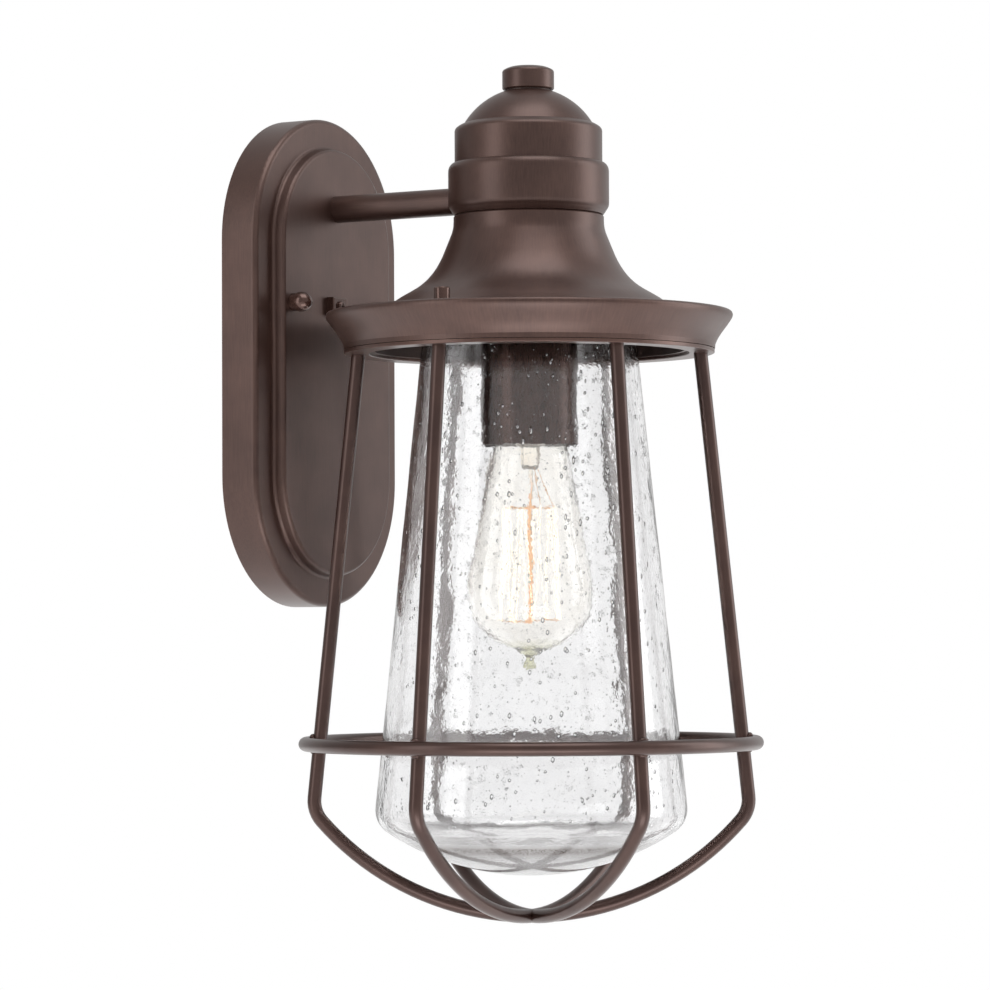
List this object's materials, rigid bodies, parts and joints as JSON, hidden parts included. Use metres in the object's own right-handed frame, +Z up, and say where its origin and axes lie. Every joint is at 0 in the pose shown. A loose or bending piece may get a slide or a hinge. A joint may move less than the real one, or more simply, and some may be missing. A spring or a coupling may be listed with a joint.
{
  "type": "outdoor wall lantern",
  "caption": "Outdoor wall lantern: an oblong wall plate and straight arm hold a bell-shaped hood with a rod cage around a tapered seeded-glass shade and a clear filament bulb.",
  "frame": {"origin": "centre of the outlet-box strap's back face, on the wall plane, at the outlet box's centre", "axes": "+Z up; +Y into the wall, so the lantern projects towards -Y; +X to the right when facing the wall"},
  "size_m": [0.2122, 0.2353, 0.3921],
  "materials": {
    "bronze_plate": "satin brushed dark bronze, vertical grain",
    "bronze_arm": "satin dark bronze, fine grain round the tube",
    "bronze_crown": "satin dark bronze, fine turned grain",
    "bronze_hood": "satin dark bronze, fine turned grain",
    "bronze_cup": "satin dark bronze",
    "bronze_cage": "satin dark bronze on round rod",
    "bronze_ring": "satin dark bronze with a polished rim",
    "bronze_dark": "dark bronze in shadow, matt",
    "bronze_nut": "semi-gloss dark bronze",
    "zinc": "bright zinc plating",
    "green_screw": "green-passivated steel",
    "nickel_brass": "nickel-plated brass, drawn",
    "copper": "bare annealed copper",
    "solder": "tinned solder",
    "porcelain": "white glazed porcelain",
    "foam": "closed-cell foam",
    "gasket_rubber": "moulded silicone rubber",
    "black_plastic": "moulded nylon",
    "black_insulator": "black glass insulator",
    "black_lead": "black wire insulation",
    "white_lead": "white wire insulation",
    "connector": "ribbed plastic wire connector",
    "seeded_glass": "clear mouth-blown seeded glass",
    "bulb_clear": "clear thin blown glass",
    "stem_glass": "clear pressed glass",
    "filament": "lit carbon-style filament",
    "support_wire": "nickel support wire lit by the filament"
  },
  "bodies": {
    "fixture": {"wall_plate": "bronze_plate", "wall_gasket": "foam", "box_strap": "zinc", "stud_bar": "zinc", "crossbar_screw": "zinc", "ground_screw": "green_screw", "mounting_studs": "zinc", "stud_locknuts": "zinc", "clamp_block": "bronze_nut", "clamp_screw": "bronze_nut", "arm_tube": "bronze_arm", "plate_pipe": "zinc", "lock_washer": "zinc", "plate_locknut": "zinc", "wire_bushing": "black_plastic", "neck_collar": "bronze_crown", "crown_dome": "bronze_crown", "finial_washer": "bronze_dark", "finial_stud": "zinc", "pipe_yoke": "zinc", "centre_pipe": "zinc", "pipe_locknuts": "zinc", "bell_hood": "bronze_hood", "socket_cup": "bronze_cup", "socket_body": "porcelain", "socket_shell": "nickel_brass", "socket_contact": "nickel_brass", "socket_bridge": "zinc", "lead_live": "black_lead", "lead_neutral": "white_lead", "wire_connectors": "connector", "ground_lugs": "copper", "ground_wire": "copper"},
    "cage": {"cage_top_ring": "bronze_ring", "cage_rod_front_right": "bronze_cage", "cage_rod_right": "bronze_cage", "cage_rod_rear_right": "bronze_cage", "cage_rod_rear_left": "bronze_cage", "cage_rod_left": "bronze_cage", "cage_rod_front_left": "bronze_cage", "cage_hoop": "bronze_cage", "cage_studs": "zinc", "glass_seat_ring": "bronze_dark", "seat_screws": "zinc", "glass_gasket": "gasket_rubber", "glass_shade": "seeded_glass"},
    "bulb": {"bulb_glass": "bulb_clear", "bulb_cap": "nickel_brass", "bulb_insulator": "black_insulator", "bulb_contact": "solder", "bulb_stem": "stem_glass", "bulb_supports": "support_wire", "bulb_filament": "filament"},
    "finial": {"finial_cap": "bronze_crown"},
    "cap_nut_l": {"cap_nut_left": "bronze_nut"},
    "cap_nut_r": {"cap_nut_right": "bronze_nut"},
    "thumb_nut_l": {"thumb_nut_left": "bronze_nut"},
    "thumb_nut_r": {"thumb_nut_right": "bronze_nut"}
  },
  "joints": [
    {"name": "cage_drop", "type": "slide", "parent": "fixture", "child": "cage", "axis": [0, 0, -1], "range_m": [0, 0.17]},
    {"name": "bulb_out", "type": "slide", "parent": "fixture", "child": "bulb", "axis": [0, 0, -1], "range_m": [0, 0.032]},
    {"name": "finial_turn", "type": "hinge", "parent": "fixture", "child": "finial", "pos_m": [0, -0.1292, 0.099], "axis": [0, 0, 1], "continuous": true},
    {"name": "cap_nut_left_turn", "type": "hinge", "parent": "fixture", "child": "cap_nut_l", "pos_m": [-0.0381, -0.03, 0], "axis": [0, -1, 0], "continuous": true},
    {"name": "cap_nut_right_turn", "type": "hinge", "parent": "fixture", "child": "cap_nut_r", "pos_m": [0.0381, -0.03, 0], "axis": [0, -1, 0], "continuous": true},
    {"name": "thumb_nut_left_turn", "type": "hinge", "parent": "fixture", "child": "thumb_nut_l", "pos_m": [-0.076, -0.1292, -0.004], "axis": [0, 0, 1], "continuous": true},
    {"name": "thumb_nut_right_turn", "type": "hinge", "parent": "fixture", "child": "thumb_nut_r", "pos_m": [0.076, -0.1292, -0.004], "axis": [0, 0, 1], "continuous": true}
  ]
}
